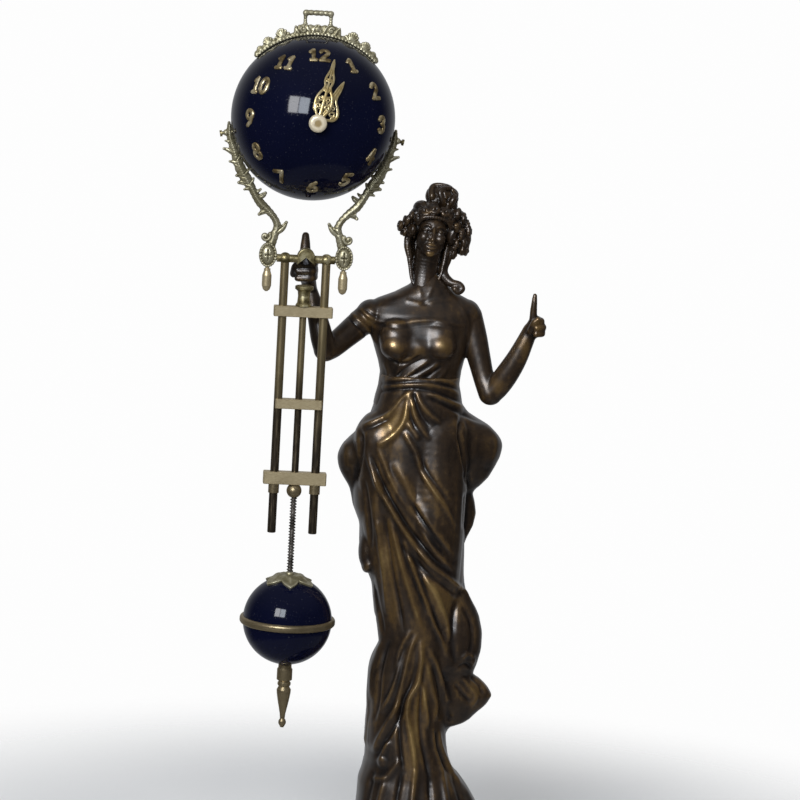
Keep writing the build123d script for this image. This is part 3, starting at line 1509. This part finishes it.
centre_bore = centre_arbor_diameter / 2 + seat_gap
with BuildPart() as centre_wheel:
    with BuildSketch(centre_face.offset(centre_wheel_front - wheel_thickness)):
        wheel_teeth(going_module, centre_teeth, bearing(centre_spot, third_spot))
        Circle(centre_bore, mode=Mode.SUBTRACT)
    extrude(amount=wheel_thickness)
hand_in(centre_wheel, "centre_wheel")

with BuildPart() as setting_knob:
    with BuildSketch(centre_face.offset(knob_front - knob_length)):
        Circle(knob_diameter / 2)
        with Locations(*circle_points(knob_diameter / 2, knob_flutes_count)):
            Circle(knob_flute / 2, mode=Mode.SUBTRACT)
        Circle(centre_bore, mode=Mode.SUBTRACT)
    extrude(amount=knob_length)
hand_in(setting_knob, "setting_knob")

# Anchor and the short pendulum behind the back plate
anchor_face = ball_plane(0, *anchor_spot)
pallet_reach = escape_diameter / 2 + anchor_nib + anchor_width / 2
pallet_x = pallet_reach * sin(radians(pallet_angle))
pallet_y = pallet_reach * cos(radians(pallet_angle)) - anchor_distance
arm_shares = (0.7, 0.25)
with BuildPart() as anchor:
    with BuildSketch(anchor_face.offset(escape_wheel_front - wheel_thickness)):
        for side in (-1, 1):
            limb_chain([
                (0, 0, anchor_width),
                (side * pallet_x * arm_shares[0], pallet_y * arm_shares[1], anchor_width / 2),
                (side * pallet_x, pallet_y, anchor_width / 2),
            ])
    extrude(amount=wheel_thickness)
    pendulum_front = -back_plate_back - inner_pendulum_gap
    with BuildSketch(anchor_face.offset(pendulum_front - inner_bob_thickness)):
        Circle(arbor_diameter / 2)
    extrude(amount=arbor_front - pendulum_front + inner_bob_thickness)
    with BuildSketch(anchor_face):
        Circle(pivot_diameter / 2)
    extrude(amount=front_plate_front)
hand_in(anchor, "anchor")

with BuildPart() as inner_pendulum:
    with BuildSketch(anchor_face.offset(pendulum_front - inner_bob_thickness)):
        Circle(arbor_diameter)
        with Locations((0, -inner_pendulum_length)):
            Circle(inner_bob_diameter / 2)
    extrude(amount=inner_bob_thickness)
    chamfer(inner_pendulum.faces().sort_by(Axis.Y)[-1].edges(), inner_bob_thickness / 3)
    with BuildSketch(anchor_face.offset(pendulum_front - (inner_bob_thickness + inner_pendulum_rod) / 2)):
        with Locations((0, -inner_pendulum_length / 2)):
            Rectangle(inner_pendulum_rod, inner_pendulum_length)
    extrude(amount=inner_pendulum_rod)
    with BuildSketch(anchor_face.offset(pendulum_front - inner_bob_thickness)):
        Circle(arbor_diameter / 2 + seat_gap)
    extrude(amount=inner_bob_thickness, mode=Mode.SUBTRACT)
hand_in(inner_pendulum, "inner_pendulum")

# Motion work: cannon pinion and pipe, minute wheel with its pinion, hour wheel with its pipe
cannon_back = front_plate_front + motion_wheel_gap
minute_wheel_back = cannon_back + running_gap
minute_pinion_back = minute_wheel_back + motion_wheel_thickness
hour_wheel_back = minute_pinion_back + motion_wheel_gap + running_gap
cannon_teeth_length = hour_wheel_back - running_gap - cannon_back
with BuildPart() as cannon_pinion:
    with BuildSketch(centre_face.offset(cannon_back)):
        wheel_teeth(motion_module, cannon_teeth, minute_bearing)
    extrude(amount=cannon_teeth_length)
    with BuildSketch(centre_face.offset(cannon_back)):
        Circle(cannon_diameter / 2)
    extrude(amount=minute_hand_front - cannon_back)
    with BuildSketch(centre_face.offset(cannon_back)):
        Circle(cannon_bore / 2)
    extrude(amount=minute_hand_front - cannon_back, mode=Mode.SUBTRACT)
hand_in(cannon_pinion, "cannon_pinion")

minute_face = ball_plane(0, *minute_spot)
minute_phase = minute_bearing + 180 + 180 / minute_teeth
with BuildPart() as minute_wheel:
    with BuildSketch(minute_face.offset(minute_wheel_back)):
        wheel_teeth(motion_module, minute_teeth, minute_phase)
    extrude(amount=motion_wheel_thickness)
    with BuildSketch(minute_face.offset(minute_pinion_back)):
        wheel_teeth(hour_module, minute_pinion_teeth, minute_bearing + 180 + 180 / minute_pinion_teeth)
    extrude(amount=hour_wheel_back + motion_wheel_thickness - minute_pinion_back)
    with BuildSketch(minute_face.offset(minute_wheel_back)):
        Circle(arbor_bore)
    extrude(amount=ball_radius, mode=Mode.SUBTRACT)
hand_in(minute_wheel, "minute_wheel")

hour_bore = cannon_diameter / 2 + slip_gap
with BuildPart() as hour_wheel:
    with BuildSketch(centre_face.offset(hour_wheel_back)):
        wheel_teeth(hour_module, hour_teeth, minute_bearing)
    extrude(amount=motion_wheel_thickness)
    with BuildSketch(centre_face.offset(hour_wheel_back)):
        Circle(hour_pipe_diameter / 2)
    extrude(amount=hour_hand_front - hour_wheel_back)
    with BuildSketch(centre_face.offset(hour_wheel_back)):
        Circle(hour_bore)
    extrude(amount=hour_hand_front - hour_wheel_back, mode=Mode.SUBTRACT)
hand_in(hour_wheel, "hour_wheel")


# Hands: pierced and bowed to the ball, stations of distance and half width as shares of the length
minute_hand_shares = [
    (0.10, 0.050),
    (0.24, 0.085),
    (0.36, 0.100),
    (0.50, 0.060),
    (0.60, 0.068),
    (0.72, 0.036),
    (1.0, 0.012),
]
hour_hand_shares = [(0.12, 0.060), (0.30, 0.130), (0.44, 0.150), (0.60, 0.070), (0.74, 0.060), (1.0, 0.016)]
minute_hole_shares = [(0.32, 0.040)]
hour_hole_shares = [(0.38, 0.060)]


def hand_point(length, share, angle):
    """A place along a hand that points at an angle clockwise from twelve."""
    return (length * share * sin(radians(angle)), length * share * cos(radians(angle)))


def draw_hand(length, shares, holes, angle, bore):
    """Adds the outline of a hand to the sketch that is open."""
    limb_chain([(*hand_point(length, along, angle), width * length) for along, width in shares])
    near, near_width = shares[0]
    limb_chain([(0, 0, hand_boss_diameter / 2), (*hand_point(length, near, angle), near_width * length)])
    for along, width in holes:
        with Locations(hand_point(length, along, angle)):
            Circle(width * length, mode=Mode.SUBTRACT)
    Circle(bore, mode=Mode.SUBTRACT)


bores = {"hour_hand": hour_pipe_diameter / 2 + seat_gap, "minute_hand": cannon_diameter / 2 + seat_gap}
backs = {"hour_hand": hour_hand_back, "minute_hand": minute_hand_back}
hands = [
    ("hour_hand", hour_hand_length, hour_hand_shares, hour_hole_shares, hour_hand_angle),
    ("minute_hand", minute_hand_length, minute_hand_shares, minute_hole_shares, minute_hand_angle),
]
for name, length, shares, holes, angle in hands:
    with BuildPart() as hand:
        with BuildSketch(centre_face):
            draw_hand(length, shares, holes, angle, bores[name])
        extrude(amount=ball_diameter)
        with Locations(ball_location):
            Sphere(backs[name] + hand_thickness, mode=Mode.INTERSECT)
            Sphere(backs[name], mode=Mode.SUBTRACT)
    hand_in(hand, name)

with BuildPart() as hand_hub:
    with BuildSketch(centre_face.offset(minute_hand_front)):
        Circle(hub_diameter / 2)
    extrude(amount=hub_height)
    fillet(hand_hub.faces().sort_by(Axis.Y)[0].edges(), hub_round)
    with BuildSketch(centre_face.offset(minute_hand_front)):
        Circle(centre_bore)
    extrude(amount=centre_end - minute_hand_front, mode=Mode.SUBTRACT)
hand_in(hand_hub, "hand_hub")

# Bob: two shells, the ring round their joint, the leaf cap, the weight inside and the nut below
bob_middle = from_pivot(0, 0, -bob_drop)
bob_inner = bob_radius - bob_wall
screw_bore = screw_diameter / 2 + slip_gap
joint_plane = level_plane(bob_drop)
for name, kept in (("bob_upper", Keep.TOP), ("bob_lower", Keep.BOTTOM)):
    with BuildPart() as bob_half:
        with Locations(bob_middle):
            Sphere(bob_radius)
            Sphere(bob_inner, mode=Mode.SUBTRACT)
        split(bisect_by=joint_plane, keep=kept)
        with BuildSketch(level_plane(bob_drop + bob_diameter)):
            Circle(screw_bore)
        extrude(amount=2 * bob_diameter, mode=Mode.SUBTRACT)
    hand_in(bob_half, name)

with BuildPart() as bob_ring:
    with BuildSketch(swing_plane(0, 0, -bob_drop)):
        with Locations((bob_radius - bob_ring_seat, 0)):
            ring_width = bob_ring_diameter / 2 - bob_radius + bob_ring_seat
            Rectangle(ring_width, bob_ring_height, align=(Align.MIN, Align.CENTER))
        fillet(vertices().group_by(Axis.X)[-1], bob_ring_round)
    revolve(axis=Axis(bob_middle, upward))
    with Locations(bob_middle):
        Sphere(bob_radius + seat_gap, mode=Mode.SUBTRACT)
hand_in(bob_ring, "bob_ring")

with BuildPart() as bob_weight:
    with Locations(bob_middle):
        Sphere(weight_diameter / 2)
    with BuildSketch(level_plane(bob_drop + bob_radius)):
        Circle(weight_neck / 2)
    extrude(amount=bob_diameter)
    with Locations(bob_middle):
        Sphere(bob_inner - seat_gap, mode=Mode.INTERSECT)
    with BuildSketch(level_plane(bob_drop + bob_radius)):
        Circle(screw_bore)
    extrude(amount=bob_diameter, mode=Mode.SUBTRACT)
hand_in(bob_weight, "bob_weight")

leaf_step = 360 / leaf_count
leaf_shares = [(0, 1.0), (0.28, 0.70), (0.5, 0.52), (0.72, 0.70)]
with BuildPart() as leaf_cap:
    with BuildSketch(level_plane(bob_drop)):
        star = []
        for i in range(leaf_count):
            for turn, share in leaf_shares:
                angle = radians((i + turn) * leaf_step)
                star.append((share * leaf_cap_radius * cos(angle), share * leaf_cap_radius * sin(angle)))
        Polygon(*star)
    extrude(amount=bob_diameter)
    with Locations(bob_middle):
        Sphere(bob_radius + leaf_cap_thickness, mode=Mode.INTERSECT)
    with BuildSketch(level_plane(bob_drop - bob_inner)):
        Circle(leaf_collar_diameter / 2)
    extrude(amount=bob_wall + leaf_collar_height)
    with Locations(bob_middle):
        Sphere(bob_radius + seat_gap, mode=Mode.SUBTRACT)
    with BuildSketch(level_plane(bob_drop)):
        Circle(screw_bore)
    extrude(amount=bob_diameter, mode=Mode.SUBTRACT)
hand_in(leaf_cap, "leaf_cap")

nut_shares = [
    (0.86, 0.0),
    (0.86, 0.05),
    (1.0, 0.075),
    (1.0, 0.24),
    (0.70, 0.265),
    (0.86, 0.29),
    (0.86, 0.32),
    (0.70, 0.35),
    (0.93, 0.40),
    (0.89, 0.46),
    (0.72, 0.58),
    (0.38, 0.78),
    (0.31, 0.86),
    (0.49, 0.90),
    (0.49, 0.94),
    (0.22, 1.0),
]
with BuildPart() as rating_nut:
    turned(
        swing_plane(0, 0, -nut_top - running_gap),
        [(width * nut_diameter / 2, -down * nut_length) for width, down in nut_shares],
    )
    with BuildSketch(level_plane(nut_top + nut_bore_depth)):
        Circle(screw_bore)
    extrude(amount=nut_bore_depth, mode=Mode.SUBTRACT)
hand_in(rating_nut, "rating_nut")
